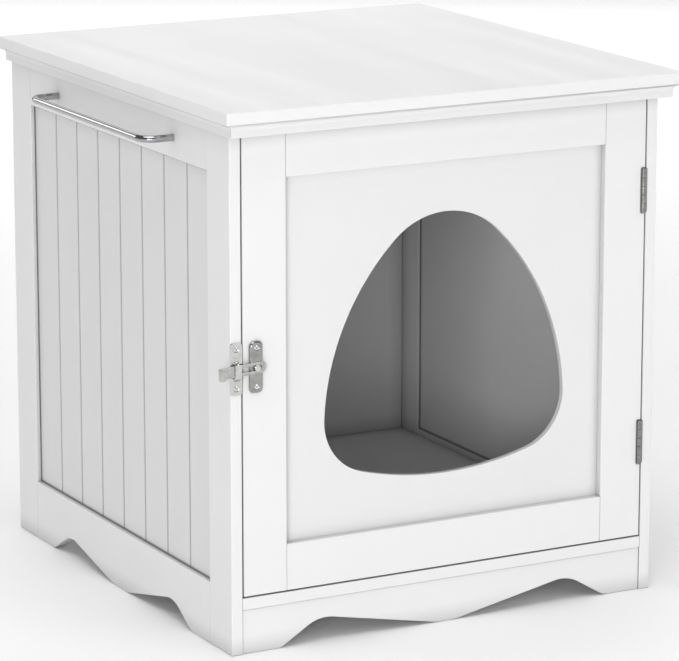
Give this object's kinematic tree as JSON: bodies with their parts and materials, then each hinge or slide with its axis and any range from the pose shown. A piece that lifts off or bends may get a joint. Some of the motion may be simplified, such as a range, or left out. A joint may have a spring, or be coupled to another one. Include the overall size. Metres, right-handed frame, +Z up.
{
  "type": "litter box cabinet",
  "caption": "White painted cabinet with a hinged, latched front door that has a rounded entry hole, beaded sides, scalloped feet and a side towel bar.",
  "frame": {"origin": "on the floor, under the middle of the whole cabinet's box, towel bar and overhanging top included", "axes": "+Z up, -Y out of the front door, +X to the right as seen from the front"},
  "size_m": [0.5296, 0.538, 0.54],
  "materials": {
    "white_paint": "satin white paint on 12 mm board",
    "nickel_plate": "bright nickel plate",
    "chrome_rod": "polished chrome",
    "fittings": "zinc plate",
    "dowel_wood": "bare beech"
  },
  "bodies": {
    "carcass": {"back_board": "white_paint", "cam_bolts": "fittings", "cam_discs": "fittings", "floor_board": "white_paint", "frame_dowels": "dowel_wood", "front_apron": "white_paint", "front_moulding": "white_paint", "hinge_fixed_screws": "nickel_plate", "latch_catch_plate": "nickel_plate", "latch_catch_screws": "nickel_plate", "left_beaded_panel": "white_paint", "left_foot_rail": "white_paint", "left_front_leg": "white_paint", "left_moulding": "white_paint", "left_rear_leg": "white_paint", "left_top_rail": "white_paint", "lower_hinge_fixed_leaf": "nickel_plate", "lower_hinge_pin": "nickel_plate", "right_beaded_panel": "white_paint", "right_foot_rail": "white_paint", "right_front_leg": "white_paint", "right_moulding": "white_paint", "right_rear_leg": "white_paint", "right_top_rail": "white_paint", "top_board": "white_paint", "top_stretcher": "white_paint", "towel_bar": "chrome_rod", "towel_bar_screws": "fittings", "upper_hinge_fixed_leaf": "nickel_plate", "upper_hinge_pin": "nickel_plate"},
    "door": {"door_dowels": "dowel_wood", "door_foot_rail": "white_paint", "door_head_rail": "white_paint", "door_left_stile": "white_paint", "door_panel": "white_paint", "door_right_stile": "white_paint", "hinge_door_screws": "nickel_plate", "latch_door_plate": "nickel_plate", "latch_door_screws": "nickel_plate", "lower_hinge_door_leaf": "nickel_plate", "upper_hinge_door_leaf": "nickel_plate"},
    "latch_stud": {"latch_stud": "nickel_plate"},
    "latch_bar": {"latch_bar": "nickel_plate"}
  },
  "joints": [
    {"name": "door_swing", "type": "hinge", "parent": "carcass", "child": "door", "pos_m": [0.23365, -0.244, 0.288], "axis": [0, 0, 1], "range_deg": [0, 180]},
    {"name": "latch_swing", "type": "hinge", "parent": "door", "child": "latch_stud", "pos_m": [-0.20325, -0.246, 0.287], "axis": [0, 1, 0], "range_deg": [0, 180]},
    {"name": "latch_slide", "type": "slide", "parent": "latch_stud", "child": "latch_bar", "axis": [0.9981, 0, 0.061], "range_m": [-0.0019, 0.0144]}
  ]
}
